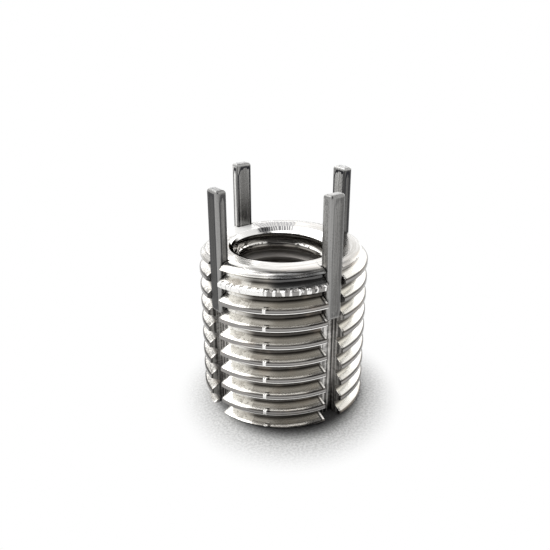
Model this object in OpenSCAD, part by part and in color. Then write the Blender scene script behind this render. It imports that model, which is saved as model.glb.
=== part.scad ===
// Key-locking threaded insert: a short steel sleeve threaded outside and bored
// through the middle, with four locking keys standing in slots cut down its side.
// Units are millimetres. +Z runs up the bore axis. The origin is the middle of the
// flat foot of the sleeve, so the sleeve stands on the plane z = 0.
// The four slots lie on the X and Y axes; key_1 stands on -Y and the numbers run
// anticlockwise seen from above (key_2 on +X, key_3 on +Y, key_4 on -X).

/* [Sleeve] */
// Length of the sleeve along its axis
sleeve_len = 13.5; // [11:0.1:20]
// Outside diameter over the crests of the external thread
thread_d = 14; // [13:0.1:20]
// Bevel at the top outer edge, same size up and in
top_bevel = 0.7; // [0.3:0.01:1.2]
// Bevel at the foot outer edge, same size up and in
foot_bevel = 0.2; // [0.05:0.01:0.6]

/* [External thread] */
// Pitch of the external thread
pitch = 1.5; // [1:0.05:2]
// Flat left on each crest, as a share of the pitch
crest_share = 0.22; // [0.08:0.005:0.25]
// Height of the crest above the foot where the thread passes the front slot
thread_start = 0.14; // [0:0.01:1]

/* [Bore] */
// Diameter of the plain bore wall, the small diameter of the internal thread
bore_d = 6.647; // [4:0.001:7.2]
// Diameter of the countersink where it meets the top face
mouth_d = 8.9; // [7.6:0.1:9.4]
// Diameter of the countersink where it meets the foot face
foot_mouth_d = 8.4; // [7.4:0.1:9.2]

/* [Key slots] */
// Width of each slot, across the slot
slot_w = 1.65; // [1:0.05:2.4]
// How far the slot floor lies below the root of the thread
slot_below_root = 0.49; // [0.1:0.01:0.8]

/* [Keys] */
// Free space between a key and each wall and the floor of its slot
key_gap = 0.1; // [0.02:0.01:0.15]
// Thickness of a key, measured outwards from the axis
key_t = 0.9; // [0.6:0.01:1.2]
// Length of a key
key_len = 10; // [6:0.1:11]
// How far a key stands above the top face before it is driven in
key_stand = 5.6; // [2:0.1:7]
// Radius along the two outer long edges of a key
key_round = 0.26; // [0.05:0.01:0.4]
// Radius along the two inner long edges of a key
key_round_in = 0.08; // [0.02:0.01:0.2]
// Bevel round both ends of a key
key_end_bevel = 0.25; // [0.05:0.01:0.3]

/* [Hidden] */
$fn = 96;
thread_r = thread_d / 2;                        // crest radius
root_depth = 0.5413 * pitch;                    // depth of a 60 degree thread, flat root
root_r = thread_r - root_depth;
groove_w = pitch * (1 - crest_share);           // groove width at the crest radius
flank_run = tan(30);                            // axial run of a flank per unit of depth
root_w = groove_w - 2 * root_depth * flank_run;
over = 0.3;                                     // how far cutters pass the blank
lead_angle = atan(pitch / (PI * (thread_r + root_r)));
sector_span = 82;                               // arc of one groove, ends lie in the slots
floor_r = root_r - slot_below_root;             // slot floor, distance from the axis
key_in = floor_r + key_gap;                     // inner face of a key
key_w = slot_w - 2 * key_gap;
key_z = sleeve_len + key_stand - key_len;       // lower end of a key
grooves = ceil(sleeve_len / pitch) + 2;
steel = [0.72, 0.72, 0.70];
key_steel = [0.55, 0.55, 0.54];

// turned blank: a ring with bevelled outer edges and a bore countersunk at both ends
module blank() {
  mouth_deep = (mouth_d - bore_d) / 2;
  foot_deep = (foot_mouth_d - bore_d) / 2;
  rotate_extrude()
    polygon([
      [bore_d / 2, foot_deep],
      [foot_mouth_d / 2, 0],
      [thread_r - foot_bevel, 0],
      [thread_r, foot_bevel],
      [thread_r, sleeve_len - top_bevel],
      [thread_r - top_bevel, sleeve_len],
      [mouth_d / 2, sleeve_len],
      [bore_d / 2, sleeve_len - mouth_deep]
    ]);
}

// one groove between two slots; leaning it by the lead angle makes the grooves of
// the four sectors follow one right-hand thread
module groove_arc() {
  rotate([lead_angle, 0, 0])
    rotate([0, 0, -sector_span / 2])
      rotate_extrude(angle = sector_span)
        polygon([
          [root_r, -root_w / 2],
          [thread_r + over, -groove_w / 2 - over * flank_run],
          [thread_r + over, groove_w / 2 + over * flank_run],
          [root_r, root_w / 2]
        ]);
}

module grooves_all() {
  for (sector = [0 : 3])
    for (n = [-1 : grooves - 2])
      rotate([0, 0, sector * 90 - 45])
        translate([0, 0, thread_start + pitch * (n + 0.5 + (sector + 0.5) / 4)])
          groove_arc();
}

module slots_all() {
  for (k = [0 : 3])
    rotate([0, 0, k * 90 - 90])
      translate([floor_r, -slot_w / 2, -1])
        cube([thread_r - floor_r + 1, slot_w, sleeve_len + 2]);
}

module sleeve() {
  color(steel)
    difference() {
      blank();
      grooves_all();
      slots_all();
    }
}

// what rounding with radius r takes off a square corner at the origin
module corner_waste(r) {
  difference() {
    translate([-over, -over]) square(r + over);
    translate([r, r]) circle(r = r);
  }
}

// cross-section of a key, outer side on +X; the long edges are rounded
module key_section() {
  difference() {
    square([key_t, key_w]);
    for (side = [0, 1])
      translate([0, side * key_w])
        mirror([0, side]) {
          corner_waste(key_round_in);
          translate([key_t, 0]) mirror([1, 0]) corner_waste(key_round);
        }
  }
}

// outline of a key seen from one side, wide across and bevelled at both ends
module key_outline(wide) {
  polygon([
    [key_end_bevel, 0],
    [wide - key_end_bevel, 0],
    [wide, key_end_bevel],
    [wide, key_len - key_end_bevel],
    [wide - key_end_bevel, key_len],
    [key_end_bevel, key_len],
    [0, key_len - key_end_bevel],
    [0, key_end_bevel]
  ]);
}

// a key in its slot; turn is counted anticlockwise from the front slot on -Y
module key(turn) {
  color(key_steel)
    rotate([0, 0, turn - 90])
      translate([key_in, -key_w / 2, key_z])
        intersection() {
          linear_extrude(height = key_len) key_section();
          translate([0, key_w, 0])
            rotate([90, 0, 0])
              linear_extrude(height = key_w) key_outline(key_t);
          rotate([90, 0, 90])
            linear_extrude(height = key_t) key_outline(key_w);
        }
}

sleeve();
key(0);  // key_1
key(90);  // key_2
key(180);  // key_3
key(270);  // key_4
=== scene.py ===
# %% [markdown]
# # A key-locking threaded insert
# The real part is a short stainless steel sleeve. It has a coarse thread outside, a
# finer thread inside and four slots down its side, and a small steel key stands in
# each slot until it is driven in. Everything about its look comes from how it is
# made: turned on a lathe, slotted by a cutter, and fitted with bits of drawn bar.
# The lesson builds the surfaces as formulas, then the finishes, then the studio.

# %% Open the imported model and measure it
import bpy
import bmesh
import numpy as np
from mathutils import Matrix, Vector


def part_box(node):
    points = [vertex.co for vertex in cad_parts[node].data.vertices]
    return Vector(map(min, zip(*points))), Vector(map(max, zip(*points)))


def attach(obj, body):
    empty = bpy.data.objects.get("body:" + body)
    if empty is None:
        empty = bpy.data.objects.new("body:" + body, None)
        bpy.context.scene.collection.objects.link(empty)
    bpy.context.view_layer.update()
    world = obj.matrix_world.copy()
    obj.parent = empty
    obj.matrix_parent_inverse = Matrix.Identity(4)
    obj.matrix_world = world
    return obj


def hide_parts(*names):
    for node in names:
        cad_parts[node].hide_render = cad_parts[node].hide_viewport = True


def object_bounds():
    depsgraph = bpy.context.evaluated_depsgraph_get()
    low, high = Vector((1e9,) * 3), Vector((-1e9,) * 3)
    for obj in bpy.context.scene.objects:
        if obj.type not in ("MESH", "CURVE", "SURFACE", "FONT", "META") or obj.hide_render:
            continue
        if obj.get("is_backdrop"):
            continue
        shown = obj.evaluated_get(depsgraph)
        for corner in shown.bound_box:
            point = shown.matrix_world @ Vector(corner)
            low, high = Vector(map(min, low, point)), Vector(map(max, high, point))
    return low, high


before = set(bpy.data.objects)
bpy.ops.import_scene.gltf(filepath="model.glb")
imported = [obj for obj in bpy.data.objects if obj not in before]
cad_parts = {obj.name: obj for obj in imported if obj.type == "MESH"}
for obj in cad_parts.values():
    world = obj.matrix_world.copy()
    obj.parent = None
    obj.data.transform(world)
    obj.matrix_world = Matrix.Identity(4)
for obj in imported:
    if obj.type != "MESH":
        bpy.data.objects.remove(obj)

MM = 0.001  # the formulas below work in millimetres; Blender works in metres
cad_low, cad_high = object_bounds()
print("whole object, mm:", [round((h - l) / MM, 2) for l, h in zip(cad_low, cad_high)])

# %% [markdown]
# ## The sizes that the pieces share
# A slot and the key that runs in it must agree, so each size is written once. The
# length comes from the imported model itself. The others repeat the values that its
# source names, because a thread's pitch can't be read from a box.

# %% Sizes, in millimetres
sleeve_low, sleeve_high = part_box("sleeve")
LENGTH = (sleeve_high.z - sleeve_low.z) / MM
CREST_R = 7.0            # outer thread, over its crests
PITCH = 1.5
CREST_FLAT = 0.22 * PITCH
ROOT_DEPTH = 0.5413 * PITCH
THREAD_START = 0.14      # height of the first crest at the front slot
TOP_BEVEL, FOOT_BEVEL = 0.7, 0.2
SLOT_W = 1.65
FLOOR_R = CREST_R - ROOT_DEPTH - 0.49   # slot floor, distance from the axis
BORE_R, TAP_R, TAP_PITCH = 3.3235, 4.0, 1.25
MOUTH_R, FOOT_MOUTH_R = 4.45, 4.2       # the two countersinks at the end faces
TAP_START = -0.25        # height of the first inner groove at the front slot
print("sleeve length %.2f mm, slot floor at radius %.3f mm" % (LENGTH, FLOOR_R))

# %% [markdown]
# ## From formulas to a mesh
# Each surface is a grid of points, rows by columns. A piece is several grids joined
# and welded, so that the result is one closed shell with no loose edges. Edges that
# turn by more than a set angle are marked sharp and the rest shade smoothly, which
# keeps flats flat without a modifier.

# %% Helpers that make a piece from grids
def polar(radius, angle, height):
    """Points from radius, angle in degrees from +X, and height."""
    a = np.radians(angle)
    return np.stack(np.broadcast_arrays(radius * np.cos(a), radius * np.sin(a), height), -1)


def grid_faces(rows, columns, start):
    """Every square of a grid as four point numbers, going round so that a grid whose
    rows rise and whose columns run anticlockwise faces outwards."""
    i, j = np.meshgrid(np.arange(rows - 1), np.arange(columns - 1), indexing="ij")
    a = start + i * columns + j
    return np.stack([a, a + 1, a + 1 + columns, a + columns], -1).reshape(-1, 4)


def make_piece(name, grids, materials, sharp=32.0):
    """Joins grids of points into one welded mesh. Each grid is (points, flip, slots):
    flip turns its faces over, and slots is the material number of each column."""
    points, faces, numbers, start = [], [], [], 0
    for grid, flip, slots in grids:
        rows, columns = grid.shape[:2]
        quads = grid_faces(rows, columns, start)
        points.append(grid.reshape(-1, 3) * MM)
        faces.append(quads[:, ::-1] if flip else quads)
        per_column = np.broadcast_to(np.asarray(slots), (columns - 1,))
        numbers.append(np.tile(per_column, rows - 1))
        start += rows * columns
    mesh = bpy.data.meshes.new(name)
    mesh.from_pydata(np.concatenate(points), [], np.concatenate(faces).tolist())
    mesh.polygons.foreach_set("material_index", np.concatenate(numbers).astype(np.int32))
    weld = bmesh.new()
    weld.from_mesh(mesh)
    bmesh.ops.remove_doubles(weld, verts=weld.verts, dist=4e-7)
    open_edges = sum(1 for e in weld.edges if len(e.link_faces) != 2)
    weld.to_mesh(mesh)
    volume = weld.calc_volume(signed=True) / MM**3
    weld.free()
    mesh.shade_smooth()
    mesh.set_sharp_from_angle(angle=np.radians(sharp))
    for material in materials:
        mesh.materials.append(material)
    piece = bpy.data.objects.new(name, mesh)
    bpy.context.scene.collection.objects.link(piece)
    triangles = sum(len(p.vertices) - 2 for p in mesh.polygons)
    print("%s: %d triangles, %.2f mm3, %d open edges" % (name, triangles, volume, open_edges))
    return piece

# %% [markdown]
# ## One turn of the outer thread
# A metric thread is a 60 degree vee with a small flat on the crest and a round in the
# root. No tool leaves a perfectly sharp corner, and the small rounds are what catch
# the light as thin bright lines, so they are modelled and not left to bump.

# %% The profile of one turn, from crest to root
def vee_profile(flat, depth, pitch, crest_round, root_round, flank_steps):
    """Half of one turn: distance from the crest's middle against depth below it. Two
    straight pieces meet the flank, and each corner is an arc of 60 degrees."""
    rise = np.tan(np.radians(30))
    crest = np.radians(np.linspace(0, 60, 4))
    root = np.radians(np.linspace(60, 0, 4))
    foot = flat / 2 + depth * rise
    across = [[0], flat / 2 - crest_round * rise + crest_round * np.sin(crest)]
    down = [[0], crest_round - crest_round * np.cos(crest)]
    bottom = foot + root_round * rise - root_round * np.sin(root)
    bottom_down = depth - root_round + root_round * np.cos(root)
    share = np.linspace(0, 1, flank_steps + 2)[1:-1]
    across += [across[1][-1] + share * (bottom[0] - across[1][-1]), bottom, [pitch / 2]]
    down += [down[1][-1] + share * (bottom_down[0] - down[1][-1]), bottom_down, [depth]]
    return np.concatenate(across), np.concatenate(down)


thread_across, thread_down = vee_profile(CREST_FLAT, ROOT_DEPTH, PITCH, 0.06, 0.08, 3)
print("rows in one pitch:", 2 * len(thread_across) - 2)

# %% [markdown]
# ## The outside of the sleeve
# The thread is one long helix that four slots interrupt. Rows of the grid follow the
# helix, so the crest edges come out clean, and columns go round the sleeve through
# the slots: half a slot floor, up the wall, across the threaded sector, down the next
# wall. One quarter is a formula of (row, column), and the other three are the same
# formula a quarter turn on, where the helix has risen by a quarter of its pitch.

# %% How far out the turned blank reaches
FACE_BREAK = 0.12  # how far the top face's edge is eased


def outer_radius(turn, height):
    """The thread's profile at a turn angle and height, and the blank that bounds it: its
    side, its two end bevels and the small break on the edge of the top face."""
    phase = (height - THREAD_START) / PITCH - turn / 360
    across = np.abs(phase - np.round(phase)) * PITCH
    thread = CREST_R - np.interp(across, thread_across, thread_down)
    bevel = CREST_R - TOP_BEVEL + (LENGTH - height)
    edge = CREST_R - TOP_BEVEL - FACE_BREAK + 2 * (LENGTH - height)
    blank = np.minimum(np.minimum(bevel, edge), CREST_R - FOOT_BEVEL + height)
    return thread, np.minimum(blank, CREST_R)


print("blank at the top face: radius %.2f mm" % outer_radius(0, LENGTH)[1])

# %% [markdown]
# A grid can only bend along its rows and columns. Where the thread runs out into a
# bevel the two surfaces cross between rows, which would leave a zigzag edge. So the
# row that lies nearest to a crossing is moved onto it. The bore needs this as well.

# %% Rows along a helix, and rows moved onto a crossing
def helix_rows(half_turn, pitch):
    """Row heights in pitches: both halves of a profile, repeated for every turn that the
    sleeve's length holds, with two to spare below the foot."""
    share = np.concatenate([-half_turn[::-1], half_turn[1:-1]]) / pitch
    turns = np.arange(-2, np.ceil(LENGTH / pitch) + 1)
    return (turns[:, None] + share[None]).reshape(-1, 1)


def snap_rows(z, first, second):
    """Moves rows onto the crossings of two surfaces. The gap between them is taken as
    straight from row to row, so it is zero at a share of the step between two rows, and
    the nearer of the two rows moves there. Heights are then held to the sleeve's length."""
    gap = first - second
    step = gap[:-1] / np.where(gap[:-1] == gap[1:], 1, gap[:-1] - gap[1:])
    crossing = gap[:-1] * gap[1:] < 0
    lower, upper = crossing & (step < 0.5), crossing & (step >= 0.5)
    meet = z[:-1] + step * (z[1:] - z[:-1])
    z[:-1][lower] = meet[lower]
    z[1:][upper] = meet[upper]
    return np.clip(z, 0, LENGTH)


rows = helix_rows(thread_across, PITCH)
print("outside: %d rows" % len(rows))

# %% [markdown]
# Milling leaves a burr where a slot meets the thread, and the burr is filed off. The
# outermost column of each sector is pulled in a little for that break, and its next
# column stands close beside it, so the break stays narrow.

# %% Columns across one quarter
EDGE_BREAK = 0.03        # how far the edge of a sector is filed in
BREAK_SHARE = 0.0035     # width of the break, as a share of the sector
SECTOR_COLUMNS = 41
FLOOR_POINTS, WALL_POINTS = 3, 7   # along half a slot floor, and up its wall

across_sector = np.linspace(BREAK_SHARE, 1 - BREAK_SHARE, SECTOR_COLUMNS)
across_sector = np.concatenate([[0], across_sector, [1]])
slot_turn = np.degrees(np.arcsin(SLOT_W / 2 / CREST_R))
column_turn = slot_turn + across_sector * (90 - 2 * slot_turn)


def quarter_skin(k):
    """Points from the middle of slot k to the middle of slot k + 1. A sector's columns
    are spaced evenly between its slots at every radius, so the walls stay parallel."""
    turn = 90 * k + column_turn[None]
    z = THREAD_START + PITCH * (rows + turn / 360)
    z = snap_rows(z, *outer_radius(turn, z))
    r = np.minimum(*outer_radius(turn, z))
    r[:, [0, -1]] -= EDGE_BREAK
    edge = np.degrees(np.arcsin(SLOT_W / 2 / r))
    sector = polar(r, 90 * k - 90 + edge + across_sector * (90 - 2 * edge), z)
    return slot_side(k, z[:, :1], r[:, :1], +1), sector, slot_side(k + 1, z[:, -1:], r[:, -1:], -1)


def slot_side(k, z, r, side):
    """Half of slot k: its floor from the middle to the corner, then its wall from the
    corner to the thread. Side is +1 for the wall that a sector starts from."""
    middle = np.clip(THREAD_START + PITCH * (rows + k / 4), 0, LENGTH)
    floor = np.linspace(0, 1, FLOOR_POINTS)[None]
    wall = np.linspace(0, 1, WALL_POINTS)[None, 1:]
    top = np.sqrt(r**2 - (SLOT_W / 2) ** 2)
    out = np.concatenate([FLOOR_R + 0 * (z * floor), FLOOR_R + wall * (top - FLOOR_R)], 1)
    off = np.concatenate([floor * SLOT_W / 2 + 0 * z, SLOT_W / 2 + 0 * (z * wall)], 1) * side
    up = np.concatenate([middle + floor * (z - middle), z + 0 * wall], 1)
    points = polar(np.hypot(out, off), 90 * k - 90 + np.degrees(np.arctan2(off, out)), up)
    return points if side > 0 else points[:, ::-1]


quarters = [quarter_skin(k) for k in range(4)]
skin = [np.concatenate([a, b[:, 1:-1], c], 1) for a, b, c in quarters]
TURNED, MILLED, TAPPED = 0, 1, 2   # numbers of the sleeve's three finishes
side_columns = quarters[0][0].shape[1]
skin_slots = np.full(skin[0].shape[1] - 1, MILLED)
skin_slots[side_columns - 1:1 - side_columns] = TURNED
print("outside: %d rows, %d columns a quarter" % skin[0].shape[:2])

# %% [markdown]
# ## The bore
# The inner thread is tapped outwards from a drilled hole, and each end has a 90
# degree countersink that the tap leaves through. The same helix idea holds with the
# sense turned round: the surface is the furthest out of the groove and the cones. A
# tap wobbles as it starts, so the first turns open out into a slight bell.

# %% The tapped hole
BELL, BELL_DEPTH, BELL_SLOPE = 0.33, 1.7, 0.6   # most it opens, how deep, how steeply

tap_across, tap_down = vee_profile(TAP_PITCH / 8, TAP_R - BORE_R, TAP_PITCH, 0.03, 0.12, 2)
outer_columns = 4 * (skin[0].shape[1] - 1)
bore_turn = np.linspace(0, 360, outer_columns // 2 + 1)


def bore_radius(turn, height):
    """The tapped groove at a turn angle and height, with its bell, and the bore wall
    with the two countersinks."""
    phase = (height - TAP_START) / TAP_PITCH - turn / 360
    across = np.abs(phase - np.round(phase)) * TAP_PITCH
    groove = TAP_R - np.interp(across, tap_across, tap_down)
    groove += np.clip((height - LENGTH + BELL_DEPTH) * BELL_SLOPE, 0, BELL)
    cones = np.maximum(MOUTH_R - (LENGTH - height), FOOT_MOUTH_R - height)
    return groove, np.maximum(cones, BORE_R)


z = TAP_START + TAP_PITCH * (helix_rows(tap_across, TAP_PITCH) + bore_turn[None] / 360)
z = snap_rows(z, *bore_radius(bore_turn[None], z))
bore = polar(np.maximum(*bore_radius(bore_turn[None], z)), bore_turn[None] - 90, z)
print("bore: %d rows, %d columns" % bore.shape[:2])

# %% [markdown]
# ## The two end faces
# A face fills the space between the sleeve's edge, with its four notches, and the
# round mouth of the bore. The bore has half as many columns as the outside, so two
# outer columns share one point on the mouth, and the weld makes a triangle there.

# %% Faces at the top and the foot
FACE_STEPS = np.array([0, 0.35, 1])   # rings of points, from the outer edge to the mouth


def end_face(row, height, mouth):
    """A flat ring: straight lines from the outer edge to the mouth of the bore."""
    edge = np.concatenate([q[row, :-1] for q in skin] + [skin[0][row, :1]])
    shared = np.minimum((np.arange(outer_columns + 1) + 1) // 2, outer_columns // 2)
    rim = polar(mouth, bore_turn[shared] - 90, height)
    return edge[None] + FACE_STEPS[:, None, None] * (rim - edge)[None]


top_face = end_face(-1, LENGTH, MOUTH_R)
foot_face = end_face(0, 0.0, FOOT_MOUTH_R)
print("top face: outer radius %.2f mm, mouth %.2f mm" % (
    np.hypot(*top_face[0, :, :2].T).max(), np.hypot(*top_face[-1, :, :2].T).min()))

# %% [markdown]
# ## Finishes as small node graphs
# A finish says where on the piece a point is, and which way the tool travelled. Such
# a graph is long to write out, so a helper adds one node and joins it up. Constants
# go straight onto the shader, and only what varies over the surface gets nodes.

# %% A helper that adds a node and joins it up
def node(tree, kind, *values, output=0, **options):
    """Adds a shader node. Values fill its live inputs in order: a socket is joined, a
    number or colour is set, None skips. Output picks what is returned, None is all."""
    made = tree.nodes.new("ShaderNode" + kind)
    for key, option in options.items():
        setattr(made, key, option)
    for slot, value in zip([s for s in made.inputs if s.enabled], values):
        if isinstance(value, bpy.types.NodeSocket):
            tree.links.new(value, slot)
        elif value is not None:
            slot.default_value = value
    live = [s for s in made.outputs if s.enabled]
    if output is None:
        return live
    return made.outputs[output] if isinstance(output, str) else live[output]


def maths(tree, operation, *values):
    """One arithmetic step."""
    return node(tree, "Math", *values, operation=operation)


def blend(tree, share, first, second):
    """A mix of two colours by a share from 0 to 1."""
    return node(tree, "Mix", share, first, second, data_type="RGBA")


def steel(name):
    """An empty metal finish: material, node tree and shader."""
    material = bpy.data.materials.new(name)
    material.use_nodes = True
    shader = material.node_tree.nodes["Principled BSDF"]
    shader.inputs["Metallic"].default_value = 1.0
    return material, material.node_tree, shader


def finish(tree, shader, colour, roughness, *reliefs):
    """Joins a colour, a roughness and reliefs to a shader. A relief is a height from 0
    to 1 and how many millimetres that stands for."""
    tree.links.new(colour, shader.inputs["Base Color"])
    tree.links.new(roughness, shader.inputs["Roughness"])
    bump = None
    for height, depth in reliefs:
        bump = node(tree, "Bump", 1.0, depth * MM, None, height, bump)
    tree.links.new(bump, shader.inputs["Normal"])
    print("finish done: %d nodes" % len(tree.nodes))

# %% [markdown]
# Marks on a real surface have limits: a stain fills a corner, a scratch ends. So most
# of a finish is shares, numbers from 0 to 1 that say how much of a mark a point has.
# Each share eases in and out over a short way, because a hard limit looks painted on.

# %% Shares, and how they are put together
def ease(tree, value, low, high, to_low=0.0, to_high=1.0):
    """Carries a value smoothly from between two limits to between two others."""
    return node(tree, "MapRange", value, low, high, to_low, to_high,
                interpolation_type="SMOOTHSTEP")


def between(tree, value, low, high, soft):
    """One between two limits and zero outside them, with soft edges."""
    return maths(tree, "MULTIPLY", ease(tree, value, low - soft, low + soft),
                 ease(tree, value, high - soft, high + soft, 1.0, 0.0))


def turn_ease(tree, angle, low, high, to_low=0.0, to_high=1.0):
    """The same as ease for an angle, with its limits in degrees from +X."""
    return ease(tree, angle, np.radians(low), np.radians(high), to_low, to_high)


def arc(tree, angle, low, high, soft):
    """The same as between for an angle, with everything in degrees from +X."""
    return between(tree, angle, np.radians(low), np.radians(high), np.radians(soft))


def product(tree, first, *others):
    """Several shares multiplied: high only where all of them are."""
    for share in others:
        first = maths(tree, "MULTIPLY", first, share)
    return first


def largest(tree, first, *others):
    """The largest of several shares: high where any of them is."""
    for share in others:
        first = maths(tree, "MAXIMUM", first, share)
    return first


def rest(tree, share):
    """What a share leaves over, one less the share."""
    return maths(tree, "SUBTRACT", 1.0, share)

# %% [markdown]
# A mark follows the tool, so its place is told in the tool's own terms: how far out,
# how far round, and how far along the thread. Taking the thread's climb off the height
# makes every turn of the helix level, so one formula serves all of them.

# %% Where a point is, and noise drawn out along a cut
def where(tree):
    """Object coordinates in millimetres: x, y and z."""
    place = node(tree, "TexCoord", output="Object")
    return [maths(tree, "MULTIPLY", s, 1 / MM)
            for s in node(tree, "SeparateXYZ", place, output=None)]


def from_middle(tree, x, y):
    """How far a point lies from the middle: the root of x squared plus y squared."""
    squares = [maths(tree, "MULTIPLY", s, s) for s in (x, y)]
    return maths(tree, "SQRT", maths(tree, "ADD", *squares))


def around(tree, pitch):
    """Distance from the axis, angle round it, height, and height less the climb of a
    thread of that pitch. The angle's seam falls in the middle of the slot on -X."""
    x, y, z = where(tree)
    angle = maths(tree, "ARCTAN2", y, x)
    climb = maths(tree, "MULTIPLY", angle, pitch / (2 * np.pi))
    return from_middle(tree, x, y), angle, z, maths(tree, "SUBTRACT", z, climb)


def on_turn(tree, level, pitch, start):
    """Height above the middle of the nearest crest, or groove in the bore, in millimetres:
    the share of a turn since the last one, brought to lie from -1/2 to 1/2, times the
    pitch."""
    turns = maths(tree, "DIVIDE", maths(tree, "SUBTRACT", level, start - pitch / 4), pitch)
    return maths(tree, "MULTIPLY", maths(tree, "SUBTRACT", maths(tree, "FRACT", turns), 0.5), pitch)


def lines(tree, parts, scales, detail=2.0):
    """Noise drawn out along the direction whose scale is small. The scales are waves
    per millimetre, or per radian for an angle, one for each coordinate."""
    drawn = [maths(tree, "MULTIPLY", p, float(s)) for p, s in zip(parts, scales)]
    return node(tree, "TexNoise", node(tree, "CombineXYZ", *drawn), 1.0, detail, 0.55)

# %% [markdown]
# ## Turned stainless steel
# The sleeve is cut on a lathe, so every mark runs round the part. On the flanks of the
# thread the marks follow the helix. They are noise stretched along the cut, used for
# the colour, the roughness and the bump together so they agree. The stretch beside the
# slot on -Y is painted darker as painted shade, and most of the next sector is mottled.

# %% The flanks of the thread
GREY = (0.3, 0.29, 0.27, 1)
DULL = (0.3, 0.29, 0.28, 1)
PAINTED_HIGHLIGHT = (0.95, 0.94, 0.92, 1)      # painted highlight
PAINTED_SHADE = (0.04, 0.038, 0.035, 1)     # painted shade
WHITE, BLACK = (1, 1, 1, 1), (0, 0, 0, 1)


def painted_shade_sector(tree, angle):
    """The stretch of the front sector whose colour is darkened as painted shade."""
    return arc(tree, angle, -134, -94, 5)


turned, tree, shader = steel("turned_steel")
radius, angle, z, level = around(tree, PITCH)
above = on_turn(tree, level, PITCH, THREAD_START)
cut = radius, angle, level
streak = lines(tree, cut, (12, 2.2, 12), 3.0)
flank = blend(tree, ease(tree, streak, 0.3, 0.7), (0.46, 0.44, 0.405, 1), (0.76, 0.74, 0.7, 1))
# Painted shade: the front sector's flanks are darkened.
flank = blend(tree, product(tree, painted_shade_sector(tree, angle), 0.45), flank, (0.3, 0.285, 0.255, 1))
coarse = ease(tree, lines(tree, cut, (7, 5, 7), 3.0), 0.4, 0.6, 0.0, 0.6)
flank = blend(tree, product(tree, coarse, arc(tree, angle, -72, 0, 12)), flank, GREY)
print("flanks:", len(tree.nodes), "nodes so far")

# %% [markdown]
# Every turn ends where a slot cuts it. Beside the slot on -Y the upper flank has a
# painted highlight on the edge, with a painted line of shade behind it. Towards the
# slot on -X the ends get a pale painted sheen with a ragged edge, and a painted glint
# before them. Just past the slot on -Y the flanks are painted brighter.

# %% The ends of the turns
x, y = where(tree)[:2]
wall = -SLOT_W / 2
at_slot = product(tree, ease(tree, y, -4.0, -3.9, 1.0, 0.0), ease(tree, above, 0.1, 0.18))
# Painted light and shade at the slot on -Y: a pale edge line with a dark line beside it.
painted_burr_shade = product(tree, between(tree, x, wall - 0.3, wall - 0.16, 0.03), at_slot, 0.85)
painted_burr_highlight = product(tree, between(tree, x, wall - 0.14, wall + 0.1, 0.02), at_slot)
flank = blend(tree, painted_burr_shade, flank, PAINTED_SHADE)
flank = blend(tree, painted_burr_highlight, flank, (0.98, 0.96, 0.92, 1))

# Painted sheen: pale, ragged ends towards the slot on -X, with a painted glint.
ragged = ease(tree, lines(tree, cut, (5, 22, 5)), 0.36, 0.46)
painted_glint = product(tree, arc(tree, angle, -156.5, -148.5, 0.6), between(tree, above, 0.1, 0.62, 0.04))
painted_end_sheen = product(tree, largest(tree, painted_glint, turn_ease(tree, angle, -166, -152, 0.9, 0.0)), ragged)
flank = blend(tree, painted_end_sheen, flank, (1, 0.985, 0.94, 1))
# Painted highlight: the flanks just past the slot on -Y are brightened.
flank = blend(tree, product(tree, arc(tree, angle, -88, -58, 10), 0.8), flank, (0.98, 0.96, 0.9, 1))
print("ends of the turns:", len(tree.nodes), "nodes so far")

# %% [markdown]
# A crest is a flat ring a third of a millimetre wide. Its colour is dull, and on the
# front sector its lower edge gets a painted highlight. Painted shade lies in thin lines
# along it and fills the root. The lines fade towards the slot on -X. Old oil tints the
# metal brown here and there.

# %% The crests, and the painted shade along them
HALF_CREST = CREST_FLAT / 2
root_r = CREST_R - ROOT_DEPTH

front = product(tree, rest(tree, turn_ease(tree, angle, -92, -88)), turn_ease(tree, angle, -162, -147))
# Painted highlight on the crest's lower edge, on the front sector only.
painted_low_edge = product(tree, ease(tree, above, -0.1, -0.06, 1.0, 0.0), front)
crest = blend(tree, painted_low_edge, DULL, PAINTED_HIGHLIGHT)
threaded = blend(tree, ease(tree, radius, CREST_R - 0.05, CREST_R - 0.015), flank, crest)

# Painted shade: dark lines along each crest and in the root, fading towards -X.
upper = between(tree, above, HALF_CREST - 0.03, HALF_CREST + 0.06, 0.02)
middle = product(tree, between(tree, above, -0.09, -0.03, 0.015), front)
lower = product(tree, between(tree, above, -HALF_CREST - 0.03, -HALF_CREST + 0.08, 0.02),
                ease(tree, front, 0.0, 1.0, 0.7, 0.0))
under = between(tree, above, -HALF_CREST - 0.1, -HALF_CREST - 0.03, 0.02)
in_root = ease(tree, radius, root_r + 0.04, root_r + 0.3, 0.95, 0.0)
painted_line_shade = largest(tree, in_root, product(tree, largest(tree, upper, middle, under, lower), 0.92))
painted_line_shade = product(tree, painted_line_shade, turn_ease(tree, angle, -158, -146, 0.08, 1.0),
              ease(tree, z, LENGTH - 1.0, LENGTH - 0.72, 1.0, 0.6))
print("crests and oil:", len(tree.nodes), "nodes so far")

# %% [markdown]
# ## The faced end
# The end face is cut last, so its marks are rings. It is greyer past the slot on -Y,
# and a dark lip of painted shade lies at the countersink towards the slot on -X, widest
# in its middle. A dark colour still shines when a metal is seen at a low angle, so the
# lip's specular tint is black too. The bevel under the face has painted shade on the
# front sector.

# %% The top face, its dark lip and the bevel
LIP_MIDDLE, LIP_END = 178, 0.8   # in degrees from +X, and the cosine at which it ends

faced = ease(tree, z, LENGTH - 0.75, LENGTH - 0.7)
rings = lines(tree, (radius, angle, z), (9, 2.5, 9), 3.0)
face = blend(tree, ease(tree, rings, 0.35, 0.65), (0.62, 0.6, 0.565, 1), (0.95, 0.935, 0.91, 1))
face = blend(tree, product(tree, arc(tree, angle, -85, 25, 12), 0.5), face, GREY)

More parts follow.
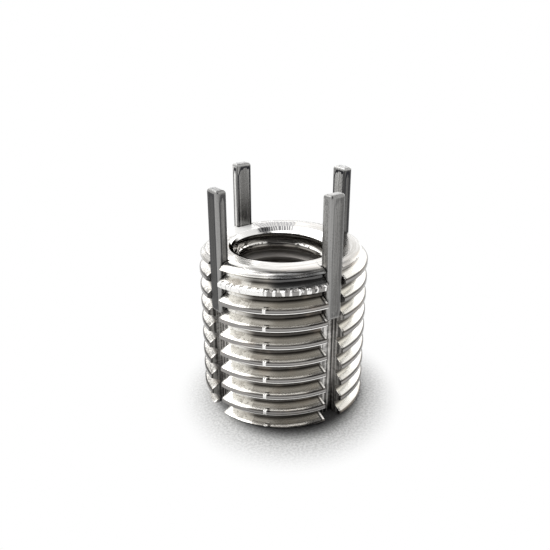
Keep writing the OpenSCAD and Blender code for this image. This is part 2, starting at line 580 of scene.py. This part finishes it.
# Painted shade: a dark lip at the countersink, with a black specular tint.
off_middle = maths(tree, "COSINE", maths(tree, "SUBTRACT", angle, np.radians(LIP_MIDDLE)))
width = product(tree, maths(tree, "SUBTRACT", off_middle, LIP_END), 0.9)
painted_lip_shade = ease(tree, maths(tree, "SUBTRACT", radius, width), MOUTH_R - 0.01, MOUTH_R + 0.03, 1.0, 0.0)
painted_lip_shade = product(tree, painted_lip_shade, ease(tree, off_middle, LIP_END - 0.02, LIP_END + 0.02))
face = blend(tree, painted_lip_shade, face, PAINTED_SHADE)
tree.links.new(blend(tree, product(tree, painted_lip_shade, faced), WHITE, BLACK), shader.inputs["Specular Tint"])

# Painted shade: the bevel is darker on the front sector.
bevel = product(tree, between(tree, z, LENGTH - 1.15, LENGTH - 0.03, 0.02), painted_shade_sector(tree, angle))
painted_bevel_shade = blend(tree, ease(tree, streak, 0.3, 0.7), (0.17, 0.17, 0.168, 1), (0.42, 0.42, 0.415, 1))
bare = blend(tree, bevel, blend(tree, faced, threaded, face), painted_bevel_shade)
# The painted shade of the crest lines and the roots goes on here.
with_painted_shade = blend(tree, painted_line_shade, bare, (0.05, 0.045, 0.04, 1))
cloud = lines(tree, (radius, angle, z), (0.8, 3.0, 0.8), 3.0)
colour = blend(tree, ease(tree, cloud, 0.5, 0.75, 0.0, 0.3), with_painted_shade, (0.5, 0.42, 0.34, 1))
print("faced end:", len(tree.nodes), "nodes so far")

# %% [markdown]
# Where the tool enters the metal it chatters, and leaves short ripples across its
# path. The first turn under the top face has a row of them on the front sector, drawn
# in the bump, with painted highlights on them. Towards the slot on -X that first turn
# is painted bright all over as a painted sheen, and on the front sector the band above
# it gets painted shade. The face has one patch of ripples beside the slot on +Y. A
# ripple is a sine of the angle, and a slow noise added to the angle keeps two from
# being alike. The upper flanks between the slots on +Y and -X have flecks of the same
# kind, which are noise alone.

# %% Chatter marks
FIRST_CREST = THREAD_START + PITCH / 4 + 8 * PITCH   # level of the top whole crest


def chatter(tree, parts, waves, scales, detail, wander):
    """Ripples round the sleeve, from -1 to 1: the sine of so many waves per radian times
    the angle, which is the second part, plus a noise times how far it may wander."""
    drift = product(tree, lines(tree, parts, scales, detail), wander)
    return maths(tree, "SINE", maths(tree, "ADD", product(tree, parts[1], waves), drift))


def chatter_patch(tree, radius, angle, z):
    """Fine ripples on the top face and its countersink, on a slightly grey ground."""
    hatch = chatter(tree, (radius, angle, z), 118.0, (0.8, 6, 0.8), 1.0, 14.0)
    place = product(tree, arc(tree, angle, 42, 85, 2), ease(tree, z, LENGTH - 0.34, LENGTH - 0.28),
                    ease(tree, radius, 5.7, 5.85, 1.0, 0.0))
    return product(tree, place, ease(tree, hatch, -0.6, 0.4, 0.52, 0.95))


wave = chatter(tree, (radius, angle, z), 66.7, (1.0, 13, 1.0), 1.5, 9.0)
first_turn = product(tree, between(tree, level, FIRST_CREST - 0.22, FIRST_CREST + 0.3, 0.05),
                     turn_ease(tree, angle, -92, -91, 1.0, 0.0))
# Painted sheen on the first turn towards -X, and painted highlights on its ripples.
painted_first_sheen = turn_ease(tree, angle, -139, -136, 1.0, 0.0)
painted_ripple_light = product(tree, largest(tree, ease(tree, wave, 0.35, 0.8), painted_first_sheen), first_turn)
# Painted shade: a dark band above the first crest on the front sector.
over_turn = between(tree, level, FIRST_CREST + 0.18, FIRST_CREST + 1.0, 0.03)
over_turn = product(tree, over_turn, painted_shade_sector(tree, angle), 0.75)
colour = blend(tree, over_turn, colour, (0.1, 0.1, 0.1, 1))
colour = blend(tree, first_turn, colour, DULL)
colour = blend(tree, painted_ripple_light, colour, PAINTED_HIGHLIGHT)

flecks = product(tree, arc(tree, angle, 100, 176, 3), between(tree, above, 0.0, 0.5, 0.08),
                 ease(tree, lines(tree, cut, (3.0, 34, 9), 1.5), 0.48, 0.58), 0.6)
marks = largest(tree, chatter_patch(tree, radius, angle, z), flecks)
colour = blend(tree, product(tree, marks, 0.85), colour, (0.04, 0.04, 0.045, 1))
print("chatter:", len(tree.nodes), "nodes so far")

# %% [markdown]
# A scratch down one side crosses every crest, and its two walls lean sideways. On each
# turn it also gets a short bright tick of painted highlight. On the top face, a patch
# round the slot on +Y is painted an even white as a painted highlight. The patch isn't
# metallic, so it takes no reflection.

# %% The scratch, the painted white patch, and the turned finish put together
SCRATCH = -138.5  # where it runs, in degrees from +X

near_crest = ease(tree, radius, CREST_R - 0.3, CREST_R - 0.22)
scratch = product(tree, turn_ease(tree, angle, SCRATCH - 1, SCRATCH + 1),
                  turn_ease(tree, angle, SCRATCH + 1, SCRATCH + 4, 1.0, 0.0), near_crest)
# Painted highlight: a bright tick where the scratch meets each crest.
painted_tick = product(tree, arc(tree, angle, SCRATCH - 1, SCRATCH + 1, 0.2), near_crest)
colour = blend(tree, painted_tick, colour, PAINTED_HIGHLIGHT)
# Painted highlight: an even white patch on the top face, not metallic.
painted_white_patch = product(tree, arc(tree, angle, 84, 118, 4), ease(tree, z, LENGTH - 0.02, LENGTH - 0.01))
colour = blend(tree, product(tree, painted_white_patch, rest(tree, painted_lip_shade)), colour, (0.97, 0.96, 0.94, 1))
tree.links.new(ease(tree, painted_white_patch, 0.0, 1.0, 1.0, 0.0), shader.inputs["Metallic"])

fine = lines(tree, (radius, angle, level), (45, 5, 45))
shallow = maths(tree, "ADD", streak, product(tree, fine, 0.4))
shallow = maths(tree, "SUBTRACT", shallow, product(tree, marks, 0.8))
deep = maths(tree, "ADD", product(tree, first_turn, wave, 0.4), scratch)
roughness = largest(tree, ease(tree, streak, 0.25, 0.75, 0.16, 0.3), product(tree, painted_white_patch, 0.38))
finish(tree, shader, colour, roughness, (shallow, 0.004), (deep, 0.1))

# %% [markdown]
# ## Milled slots
# The cutter that makes a slot travels along the sleeve, so its marks are upright, with
# a faint cross pattern where it chattered. The slot's inner corners get painted shade.

# %% The slot finish
milled, tree, shader = steel("milled_slot")
x, y, z = where(tree)
upright = lines(tree, (x, y, z), (4.5, 4.5, 0.15))
crosswise = lines(tree, (x, y, z), (1.5, 1.5, 9))
tone = maths(tree, "ADD", product(tree, upright, 0.8), product(tree, crosswise, 0.2))
colour = blend(tree, ease(tree, tone, 0.42, 0.58), (0.17, 0.165, 0.16, 1), (0.85, 0.835, 0.81, 1))
off = maths(tree, "MINIMUM", maths(tree, "ABSOLUTE", x), maths(tree, "ABSOLUTE", y))
# Painted shade in the slot's inner corners.
corner = between(tree, off, SLOT_W / 2 - 0.22, SLOT_W / 2 - 0.03, 0.03)
colour = blend(tree, product(tree, corner, 0.75), colour, (0.05, 0.047, 0.045, 1))
finish(tree, shader, colour, ease(tree, tone, 0.3, 0.7, 0.25, 0.45), (tone, 0.008))

# %% [markdown]
# ## The tapped bore
# The tap goes round and leaves a duller, darker thread, with painted shade along the
# lower edge of each groove. In the first turns that edge gets a painted highlight, a
# bright band broken up by noise.

# %% The tapped thread
SHADOW = (0.05, 0.047, 0.045, 1)

tapped, tree, shader = steel("tapped_bore")
radius, angle, z, level = around(tree, TAP_PITCH)
above = on_turn(tree, level, TAP_PITCH, TAP_START)
streak = lines(tree, (radius, angle, level), (16, 2.5, 16), 3.0)
first_turns = ease(tree, z, LENGTH - 1.9, LENGTH - 1.7)
deeper = ease(tree, z, LENGTH - 2.2, LENGTH - 1.4, 1.0, 0.0)
flank = blend(tree, ease(tree, streak, 0.3, 0.7), (0.2, 0.185, 0.165, 1), (0.36, 0.34, 0.31, 1))
# Painted shade along the lower edge of each groove.
flank = blend(tree, ease(tree, above, -0.5, -0.35, 0.8, 0.0), flank, SHADOW)
flank = blend(tree, deeper, flank, (0.36, 0.34, 0.32, 1))
pits = ease(tree, lines(tree, (radius, angle, z), (5, 9, 5)), 0.4, 0.46)
# Painted highlight: a bright band on the first turns of the bore.
painted_band_light = product(tree, between(tree, above, -0.55, -0.4, 0.03), first_turns,
               rest(tree, arc(tree, angle, 36, 77, 2)), pits)
colour = blend(tree, painted_band_light, flank, (0.85, 0.83, 0.79, 1))
print("tapped thread:", len(tree.nodes), "nodes so far")

# %% [markdown]
# The countersink is turned, so it is as bright as the end face. On the side of the
# slot on -X it gets painted shade over its lower edge, in specks down the first turns,
# and further round over the whole cone. The chatter patch of the face goes on down it.

# %% The countersink, and the bore finish put together
on_cone = maths(tree, "ADD", radius, maths(tree, "SUBTRACT", LENGTH - MOUTH_R, z))
on_cone = between(tree, on_cone, -0.02, 0.02, 0.01)
colour = blend(tree, on_cone, colour, (0.8, 0.79, 0.77, 1))

beyond = turn_ease(tree, angle, -165, -155, 1.0, 0.0)
left_rim = largest(tree, turn_ease(tree, angle, 96, 104), beyond)
end_rim = largest(tree, turn_ease(tree, angle, 140, 148), beyond)
low_cone = product(tree, on_cone, ease(tree, radius, MOUTH_R - 0.15, MOUTH_R - 0.11, 1.0, 0.0),
                   largest(tree, turn_ease(tree, angle, 108, 132), beyond))
specks = ease(tree, lines(tree, (radius, angle, level), (9, 7, 9)), 0.44, 0.56, 1.0, 0.0)
specks = product(tree, specks, first_turns, rest(tree, painted_band_light), rest(tree, on_cone))
# Painted shade at the mouth on the side of -X, with a black specular tint.
painted_mouth_shade = largest(tree, product(tree, left_rim, largest(tree, specks, low_cone)),
                  product(tree, end_rim, on_cone))
colour = blend(tree, painted_mouth_shade, colour, PAINTED_SHADE)
tree.links.new(blend(tree, painted_mouth_shade, WHITE, BLACK), shader.inputs["Specular Tint"])
patch = product(tree, chatter_patch(tree, radius, angle, z), 0.95)
colour = blend(tree, patch, colour, (0.06, 0.06, 0.065, 1))

relief = product(tree, streak, ease(tree, z, LENGTH - 0.7, LENGTH - 0.5, 1.0, 0.2))
roughness = largest(tree, ease(tree, streak, 0.3, 0.7, 0.16, 0.3), product(tree, deeper, 0.55))
finish(tree, shader, colour, roughness, (relief, 0.005))

# %% [markdown]
# ## The sleeve
# The four quarters, the bore and the two faces now join into one piece. The bore and
# the foot face are turned over, because their rows and columns run the other way
# round. A closed shell has no open edges, and its volume shows that it faces outwards.

# %% Weld the sleeve from its grids
grids = [(quarter, False, skin_slots) for quarter in skin]
grids += [(bore, True, TAPPED), (top_face, False, TURNED), (foot_face, True, TURNED)]
sleeve = make_piece("threaded_sleeve", grids, [turned, milled, tapped])
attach(sleeve, "sleeve")
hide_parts("sleeve")

# %% [markdown]
# ## The locking keys
# A key is a length of drawn flat bar, cut off and lightly deburred. Its outer long
# edges are well rounded, its inner ones barely. The shape is one rounded rectangle
# carried up the key, drawn in a little at both ends for the bevel, then closed to its
# middle. The box of each CAD key gives its place, so a key can't drift from its slot.

# %% The outline of a key and its surface
OUTER_ROUND, INNER_ROUND, END_ROUND = 0.26, 0.08, 0.25


def rounded_outline(thick, wide, inset, corner=9, side=4):
    """Points round a rectangle with its corners rounded, inner edge at zero. Each
    corner is a quarter circle, and the straight sides between are evenly divided."""
    x0, x1, y1 = inset, thick - inset, wide / 2 - inset
    turns = np.radians(np.linspace(0, 90, corner))
    corners = []
    for number, (x, y, r) in enumerate(((x1, y1, OUTER_ROUND), (x0, y1, INNER_ROUND),
                                        (x0, -y1, INNER_ROUND), (x1, -y1, OUTER_ROUND))):
        r = max(r - inset, 0.02)
        cx, cy = x - np.sign(x - thick / 2) * r, y - np.sign(y) * r
        turn = turns + number * np.pi / 2
        corners.append(np.stack([cx + r * np.cos(turn), cy + r * np.sin(turn)], -1))
    share = np.linspace(0, 1, side + 1)[1:-1, None]
    loop = []
    for here, after in zip(corners, corners[1:] + corners[:1]):
        loop += [here, here[-1] + share * (after[0] - here[-1])]
    return np.concatenate(loop + [corners[0][:1]])


def key_surface(low, high, quarter):
    """Outlines stacked up the key, each drawn in by a quarter circle's distance near an
    end. The last outline at each end shrinks to the middle."""
    size = (high - low) / MM
    thick, wide = sorted(size[:2])
    inner = min(abs(v) for v in (*low[:2], *high[:2]) if abs(v) > wide * MM) / MM
    bend = np.radians(np.linspace(0, 90, 7))
    inset, rise = END_ROUND * (1 - np.sin(bend)), END_ROUND * (1 - np.cos(bend))
    body = np.linspace(0, 1, 14)[1:-1] * (size[2] - 2 * END_ROUND) + END_ROUND
    heights = np.concatenate([rise, body, size[2] - rise[::-1]])
    insets = np.concatenate([inset, 0 * body, inset[::-1]])
    rings = np.stack([rounded_outline(thick, wide, i) for i in insets])
    middle = np.array([thick / 2, 0])
    caps = [middle + s * (rings[0] - middle) for s in (0, 0.5)]
    rings = np.concatenate([np.stack(caps), rings, np.stack(caps[::-1])])
    heights = np.concatenate([[0, 0], heights, [size[2], size[2]]])
    out, off = rings[..., 0] + inner, rings[..., 1]
    up = low[2] / MM + heights[:, None] + 0 * out
    return polar(np.hypot(out, off), 90 * quarter - 90 + np.degrees(np.arctan2(off, out)), up)

# %% [markdown]
# ## Drawn bar
# Drawing pulls the bar through a die, which leaves long straight lines down its
# length. The colour, roughness and bump again share one noise, stretched this time
# along the key, with a faint mottle over it from pickling. Each rounded edge gets a
# painted highlight, and a painted line of shade where the round ends. Each face gets
# painted light and shade of its own. So every point stores how far it lies past the
# round, and how bright or dark its own face, round and line are painted.

# %% What each point of a key stores
SIDE_BAND = 0.15   # how near to a side face its own tone takes over


def mark_faces(key, low, high, quarter, tones, rounds, painted_edge_shade):
    """Stores four values. Edge is the millimetres past the end of the nearest round.
    Painted face light goes from the inner face's tone to the outer face's, with the
    sides' own and a lean across the key. Painted edge highlight is how bright the
    nearest round is painted, and painted edge shade is how dark the line beside it is."""
    at = np.empty(len(key.data.vertices) * 3)
    key.data.vertices.foreach_get("co", at)
    at = at.reshape(-1, 3) / MM
    low, high = low / MM, high / MM
    a = np.radians(90 * quarter - 90)
    thick, wide = sorted((high - low)[:2])
    out = at[:, 0] * np.cos(a) + at[:, 1] * np.sin(a)
    off = at[:, 1] * np.cos(a) - at[:, 0] * np.sin(a)
    to_side = wide / 2 - np.abs(off)
    out = out - out.min()
    nearer = np.minimum(out, thick - out)
    end = np.minimum(at[:, 2] - low[2], high[2] - at[:, 2])
    past = nearer + to_side - np.where(out > thick / 2, OUTER_ROUND, INNER_ROUND)
    past_end = end + np.minimum(nearer, to_side) - END_ROUND
    # Painted light and shade: each face's brightness is set by its tone.
    inner, sides, outer, lean = tones
    painted_face_light = inner + (outer - inner) * out / thick
    painted_face_light += (sides - painted_face_light) * np.clip(1 - to_side / SIDE_BAND, 0, 1)
    painted_face_light *= 1 + lean * off / wide
    # Painted highlight on the rounds and the tips.
    outer_pair, inner_pair, tip = rounds
    painted_edge_highlight = np.where(out > thick / 2, np.where(off > 0, *outer_pair), np.where(off > 0, *inner_pair))
    painted_edge_highlight = np.where(past_end < np.minimum(past, 0), tip, painted_edge_highlight)
    stored = {"edge": np.minimum(past, past_end), "painted_face_light": painted_face_light, "painted_edge_highlight": painted_edge_highlight,
              "painted_edge_shade": np.full(len(at), painted_edge_shade)}
    for name, values in stored.items():
        layer = key.data.attributes.new(name, "FLOAT", "POINT")
        layer.data.foreach_set("value", values.astype(np.float32))

# %% [markdown]
# The shader reads the four values back as attributes. They scale one shared pair of
# colours, so four keys with different tones still look drawn from the same bar.

# %% The key finish
drawn, tree, shader = steel("drawn_bar")
edge, painted_face_light, painted_edge_highlight, painted_edge_shade = (node(tree, "Attribute", attribute_name=name, output="Fac")
                          for name in ("edge", "painted_face_light", "painted_edge_highlight", "painted_edge_shade"))
x, y, z = where(tree)
drawn_out = lines(tree, (x, y, z), (11, 11, 0.25), 3.0)
mottle = lines(tree, (x, y, z), (9, 9, 7), 3.0)
tone = maths(tree, "ADD", product(tree, drawn_out, 0.7), product(tree, mottle, 0.3))
faces = blend(tree, ease(tree, tone, 0.35, 0.65), (0.2, 0.197, 0.19, 1), (0.36, 0.355, 0.345, 1))
# Painted light and shade: each face's colour is scaled by its stored brightness.
faces = node(tree, "VectorMath", faces, painted_face_light, operation="SCALE")
# Painted highlight on the rounds, and a painted line of shade beside them.
painted_highlight_colour = blend(tree, ease(tree, tone, 0.4, 0.6), (0.8, 0.79, 0.77, 1), (1, 0.99, 0.97, 1))
painted_highlight_colour = node(tree, "VectorMath", painted_highlight_colour, painted_edge_highlight, operation="SCALE")
colour = blend(tree, ease(tree, edge, -0.04, 0.01, 1.0, 0.0), faces, painted_highlight_colour)
beside_round = product(tree, between(tree, edge, 0.01, 0.13, 0.02), painted_edge_shade)
colour = blend(tree, beside_round, colour, (0.03, 0.03, 0.035, 1))
finish(tree, shader, colour, ease(tree, tone, 0.3, 0.7, 0.22, 0.38), (tone, 0.006))

# %% [markdown]
# ## The four keys
# All four keys have one shape. They differ in the painted light and shade on each
# face, round and tip, so each has its own row of tones. A key rides on its own body,
# which slides down the slot, and takes the place of the measured key.

# %% Make the keys
# One row for each key. First the painted tones of the inner face, the sides and the
# outer face, and how they lean across it. Then the painted highlight of the two outer
# rounds, the two inner rounds and the tips, and how dark the painted line of shade
# beside them is.
KEY_LOOKS = [((1.0, 1.5, 0.72, -0.6), ((0.2, 0.36), (0.1, 0.3), 0.32), 0.28),
             ((1.85, 0.47, 0.85, 0), ((0.4, 0.04), (0.05, 0.04), 0.5), 1.0),
             ((0.83, 2.6, 0.85, 0), ((0.8, 0.4), (0.03, 0.03), 0.45), 1.0),
             ((0.82, 0.8, 0.22, 0), ((0.36, 0.04), (0.05, 0.1), 0.36), 0.7)]
KEY_SHARP = 50.0   # edges that turn by more than this many degrees stay sharp

for quarter, (tones, rounds, darkness) in enumerate(KEY_LOOKS):
    cad_key = "key_%d" % (quarter + 1)
    low, high = (np.array(corner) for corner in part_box(cad_key))
    surface = key_surface(low, high, quarter)
    key = make_piece("drawn_" + cad_key, [(surface, False, 0)], [drawn], KEY_SHARP)
    mark_faces(key, low, high, quarter, tones, rounds, darkness)
    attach(key, cad_key)
    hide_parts(cad_key)

# %% [markdown]
# ## The camera
# The part was seen from close by and a little above, so its far side looks smaller
# than its near side. A camera has to stand at the true distance to give that, so it
# is placed in millimetres from the axis and turned towards the piece.

# %% Camera
FRONT = np.radians(-90 - 36.38)      # the way the camera's side faces, from +X
CAM_OUT, CAM_UP = 48.985, 31.160     # from the axis, and above the foot
TILT, PAN, ROLL = np.radians([22.748, -0.828, -0.18])
LENS_SHARE = 1.1395818               # focal length over frame width
SENSOR = 36                          # frame width on the sensor, millimetres
NEAREST = 0.001                      # metres, nearer than any piece can come

ahead = np.array([np.sin(PAN) * np.cos(TILT), np.cos(PAN) * np.cos(TILT), -np.sin(TILT)])
side = np.array([np.cos(PAN), -np.sin(PAN), 0])
above = np.cross(side, ahead)
side, above = np.cos(ROLL) * side + np.sin(ROLL) * above, np.cos(ROLL) * above - np.sin(ROLL) * side
spin = np.array(Matrix.Rotation(FRONT + np.pi / 2, 3, "Z"))
placed = np.eye(4)
placed[:3, :3] = np.stack([spin @ side, spin @ above, -(spin @ ahead)], 1)
placed[:3, 3] = spin @ np.array([0, -CAM_OUT, CAM_UP]) * MM
lens = bpy.data.cameras.new("studio_camera")
lens.sensor_width = SENSOR
lens.lens = SENSOR * LENS_SHARE
lens.clip_start = NEAREST
camera = bpy.data.objects.new("studio_camera", lens)
camera.matrix_world = Matrix(placed.tolist())
bpy.context.scene.collection.objects.link(camera)
bpy.context.scene.camera = camera
print("camera at", [round(v / MM, 1) for v in placed[:3, 3]], "mm, lens %.1f mm" % lens.lens)

# %% [markdown]
# ## The studio
# Polished metal has almost no colour of its own: it shows the room. The room here is
# a white surround, bright at the back and the sides, with a dim strip from where the
# onlooker stands up over the top. The strip and painted shade on the front sector give
# the front flanks their grey. Seen straight on, the surround is plain white.

# %% The surround
scene = bpy.context.scene
scene.view_settings.view_transform = "Standard"
world = bpy.data.worlds.new("surround")
scene.world = world
world.use_nodes = True
tree = world.node_tree
background = tree.nodes["Background"]
direction = node(tree, "VectorMath", node(tree, "TexCoord", output="Generated"), operation="NORMALIZE")


def toward(turn, rise):
    """A unit vector: turn in degrees from the camera's side, to its right, and rise."""
    a, e = FRONT + np.radians(turn), np.radians(rise)
    return Vector((np.cos(a) * np.cos(e), np.sin(a) * np.cos(e), np.sin(e)))


def along(tree, direction, axis):
    """How far a direction goes along an axis."""
    return node(tree, "VectorMath", direction, tuple(axis), operation="DOT_PRODUCT", output="Value")


# A dim strip runs from the camera's side up over the top. It is turned a little to the
# right, reaches from left to right of its middle, and ends behind the overhead.
DIM_TURN, DIM_LEFT, DIM_RIGHT, DIM_BACK = 15, -0.29, 0.47, 122
DIM = (0.1, 0.1, 0.105, 1)
across = along(tree, direction, toward(DIM_TURN + 90, 0))
over = along(tree, direction, toward(DIM_TURN, DIM_BACK - 90))
dim = product(tree, between(tree, across, DIM_LEFT, DIM_RIGHT, 0.05), ease(tree, over, -0.08, 0.08))
seen = node(tree, "LightPath", output="Is Camera Ray")
room = blend(tree, seen, blend(tree, dim, WHITE, DIM), WHITE)
tree.links.new(room, background.inputs["Color"])
print("surround: dim between %d and %d degrees of the camera's side" % tuple(
    DIM_TURN + np.degrees(np.arcsin([DIM_LEFT, DIM_RIGHT]))))

# %% [markdown]
# ## The floor
# The floor is white paper that fades into the surround, so the shadow stays and the
# paper's edge doesn't show. Close to the sleeve the paper takes light and shadow like
# any surface, with a painted contact shadow right at the foot. Further out it turns
# into a plain white glow. The fade is a stretched circle, set a little to the front and
# to the right, because the shadow falls there.

# %% The paper
PAPER_HALF, PAPER_POINTS, PAPER_DROP = 0.6, 21, 0.00001   # metres, and just under the foot
SHADE_AHEAD, SHADE_RIGHT = 0.8, 0.5    # middle of the fade, millimetres from the axis
SHADE_STRETCH = 0.85
FADE_FROM, FADE_TO = 6.1, 10.1         # millimetres from that middle
CONTACT_FROM, CONTACT_TO = 5.2, 7.0    # painted contact shadow where the sleeve meets the paper


def toward_turn(tree, x, y, turn):
    """How far a point lies towards a turn, in radians from +X: x times its cosine plus
    y times its sine."""
    return maths(tree, "ADD", product(tree, x, np.cos(turn)), product(tree, y, np.sin(turn)))


span = np.linspace(-1, 1, PAPER_POINTS) ** 3 * PAPER_HALF
across, down = np.meshgrid(span, span)
points = np.stack([across, down, across * 0 - PAPER_DROP], -1).reshape(-1, 3)
paper_mesh = bpy.data.meshes.new("paper_floor")
paper_mesh.from_pydata(points, [], grid_faces(PAPER_POINTS, PAPER_POINTS, 0).tolist())
floor = bpy.data.objects.new("paper_floor", paper_mesh)
scene.collection.objects.link(floor)
floor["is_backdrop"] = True

paper = bpy.data.materials.new("white_paper")
paper.use_nodes = True
tree = paper.node_tree
tree.nodes.clear()
x, y, z = where(tree)
ahead_of = maths(tree, "SUBTRACT", toward_turn(tree, x, y, FRONT), SHADE_AHEAD)
right_of = maths(tree, "SUBTRACT", toward_turn(tree, x, y, FRONT + np.pi / 2), SHADE_RIGHT)
radius = from_middle(tree, product(tree, ahead_of, SHADE_STRETCH), right_of)
grain = lines(tree, (x, y, z), (5.0, 5.0, 1.0), 3.0)
bump = node(tree, "Bump", 1.0, 0.1 * MM, None, grain)
tint = blend(tree, ease(tree, grain, 0.35, 0.65), (0.64, 0.64, 0.63, 1), (0.88, 0.88, 0.875, 1))
# Painted contact shadow: the paper darkens towards black close to the sleeve.
tint = blend(tree, ease(tree, radius, CONTACT_FROM, CONTACT_TO, 0.1, 1.0), BLACK, tint)
rays = {ray.name: ray for ray in node(tree, "LightPath", output=None)}
shown = largest(tree, rays["Is Camera Ray"], rays["Is Glossy Ray"], rays["Is Transmission Ray"])
fade = product(tree, ease(tree, radius, FADE_FROM, FADE_TO), shown)
both_papers = node(tree, "MixShader", fade, node(tree, "BsdfDiffuse", tint, None, bump),
                   node(tree, "Emission", WHITE, 1.0))
node(tree, "OutputMaterial", both_papers, output=None)
paper_mesh.materials.append(paper)
print("paper: %d squares, fades from %.1f to %.1f mm" % ((PAPER_POINTS - 1) ** 2, FADE_FROM, FADE_TO))

# %% [markdown]
# ## The lamps
# Three soft boxes light the part: one overhead on the left, one wide and low behind,
# and a small card over the bore that shows in the polished mouth. They are placed by
# the turn and rise at which the part sees them.

# %% Soft boxes
MIDDLE_HEIGHT = 0.007   # metres above the foot; every box faces this point


def lamp(name, turn, rise, distance, size, radiance):
    """A soft box, width by height, that faces the middle of the part. Its power is its
    radiance times its area times pi, so that boxes of any size compare."""
    away = toward(turn, rise)
    light = bpy.data.lights.new(name, "AREA")
    light.shape, (light.size, light.size_y) = "RECTANGLE", size
    light.energy = radiance * np.pi * size[0] * size[1]
    holder = bpy.data.objects.new(name, light)
    place = Vector((0, 0, MIDDLE_HEIGHT)) + away * distance
    holder.matrix_world = Matrix.Translation(place) @ away.to_track_quat("Z", "Y").to_matrix().to_4x4()
    holder.visible_camera = False
    scene.collection.objects.link(holder)
    print("%s: %.0f x %.0f mm, %.0f mm away" % (name, size[0] / MM, size[1] / MM, distance / MM))


lamp("overhead_box", -117, 54, 0.25, (0.16, 0.14), 2.6)
lamp("back_box", 168, 21, 0.38, (0.8, 0.24), 1.4)
lamp("mouth_card", 0, 76, 0.0685, (0.04, 0.016), 2.6)

# %% [markdown]
# ## Checking the size
# The detailed pieces stand in for the measured ones, so together they must fill the
# same box. The differences between the two boxes are printed.

# %% Compare the boxes and finish
seen_low, seen_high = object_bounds()
pairs = zip((*cad_low, *cad_high), (*seen_low, *seen_high))
print("box differences, mm:", [round((seen - cad) / MM, 3) for cad, seen in pairs])
